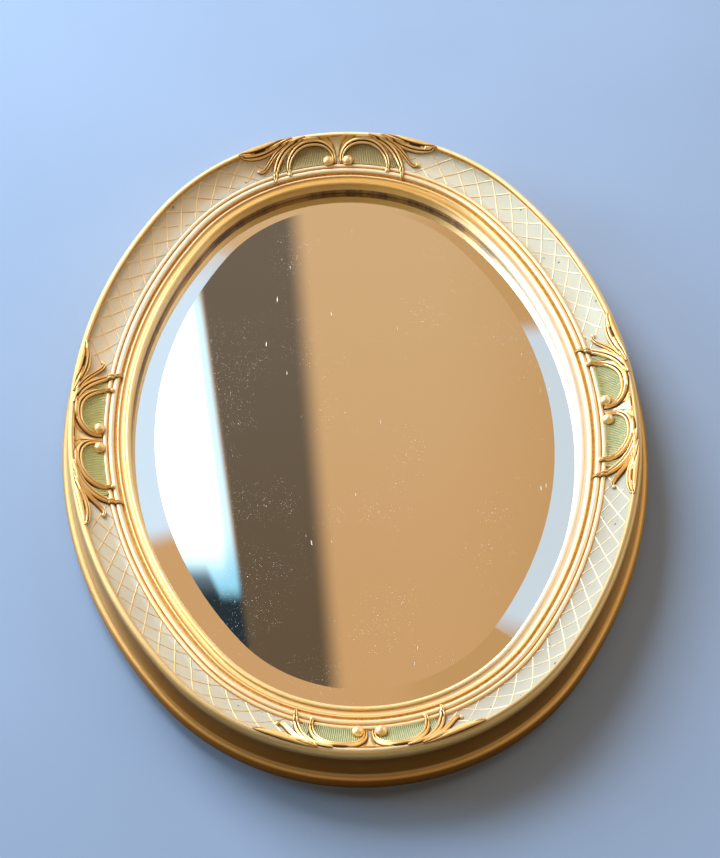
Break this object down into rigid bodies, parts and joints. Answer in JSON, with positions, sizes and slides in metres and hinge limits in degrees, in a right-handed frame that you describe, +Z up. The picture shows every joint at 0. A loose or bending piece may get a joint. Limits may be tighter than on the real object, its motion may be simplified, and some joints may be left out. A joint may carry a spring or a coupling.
{
  "type": "oval wall mirror",
  "caption": "Upright oval wall mirror with a gilt and cream moulded frame, scroll cartouches on the sides and ends, a bevelled plate, turn-button back and a swinging hanging ring.",
  "frame": {"origin": "where a wall hook bears under the top of the hanging ring", "axes": "+X right, +Y back into the wall, +Z up; the mirror faces -Y"},
  "size_m": [0.4798, 0.0505, 0.64],
  "materials": {
    "gilt_moulding": "gilt moulding with a cream frieze",
    "raw_wood": "bare",
    "gilt_ornament": "gilt composition",
    "green_panel": "sage green paint over fine ribs",
    "mirror_glass": "silvered, bevelled edge",
    "card": "matt",
    "plywood": "bare",
    "steel_hardware": "zinc plated",
    "brass_hardware": "plated",
    "rubber": "matt"
  },
  "bodies": {
    "frame": {"frame_segment_top": "gilt_moulding", "frame_segment_bottom": "gilt_moulding", "frame_segment_left": "gilt_moulding", "frame_segment_right": "gilt_moulding", "joint_tongues": "raw_wood", "ornament_top": "gilt_ornament", "ornament_bottom": "gilt_ornament", "ornament_left": "gilt_ornament", "ornament_right": "gilt_ornament", "ribbed_panels_top": "green_panel", "ribbed_panels_bottom": "green_panel", "ribbed_panels_left": "green_panel", "ribbed_panels_right": "green_panel", "mirror_plate": "mirror_glass", "backing_card": "card", "back_board": "plywood", "turn_button_screws": "steel_hardware", "hanger_strap": "brass_hardware", "hanger_screws": "steel_hardware", "bumper_left": "rubber", "bumper_right": "rubber"},
    "ring": {"hanging_ring": "brass_hardware"},
    "button_1": {"turn_button_1": "steel_hardware"},
    "button_2": {"turn_button_2": "steel_hardware"},
    "button_3": {"turn_button_3": "steel_hardware"},
    "button_4": {"turn_button_4": "steel_hardware"},
    "button_5": {"turn_button_5": "steel_hardware"},
    "button_6": {"turn_button_6": "steel_hardware"}
  },
  "joints": [
    {"name": "ring_swing", "type": "hinge", "parent": "frame", "child": "ring", "pos_m": [0, 0.00088, -0.01547], "axis": [-1, 0, 0], "range_deg": [0, 180]},
    {"name": "button_1_turn", "type": "hinge", "parent": "frame", "child": "button_1", "pos_m": [0.1985, -0.00169, -0.31248], "axis": [0, 1, 0], "continuous": true},
    {"name": "button_2_turn", "type": "hinge", "parent": "frame", "child": "button_2", "pos_m": [0.07929, -0.00169, -0.05524], "axis": [0, 1, 0], "continuous": true},
    {"name": "button_3_turn", "type": "hinge", "parent": "frame", "child": "button_3", "pos_m": [-0.07929, -0.00169, -0.05524], "axis": [0, 1, 0], "continuous": true},
    {"name": "button_4_turn", "type": "hinge", "parent": "frame", "child": "button_4", "pos_m": [-0.1985, -0.00169, -0.31248], "axis": [0, 1, 0], "continuous": true},
    {"name": "button_5_turn", "type": "hinge", "parent": "frame", "child": "button_5", "pos_m": [-0.07929, -0.00169, -0.56971], "axis": [0, 1, 0], "continuous": true},
    {"name": "button_6_turn", "type": "hinge", "parent": "frame", "child": "button_6", "pos_m": [0.07929, -0.00169, -0.56971], "axis": [0, 1, 0], "continuous": true}
  ]
}
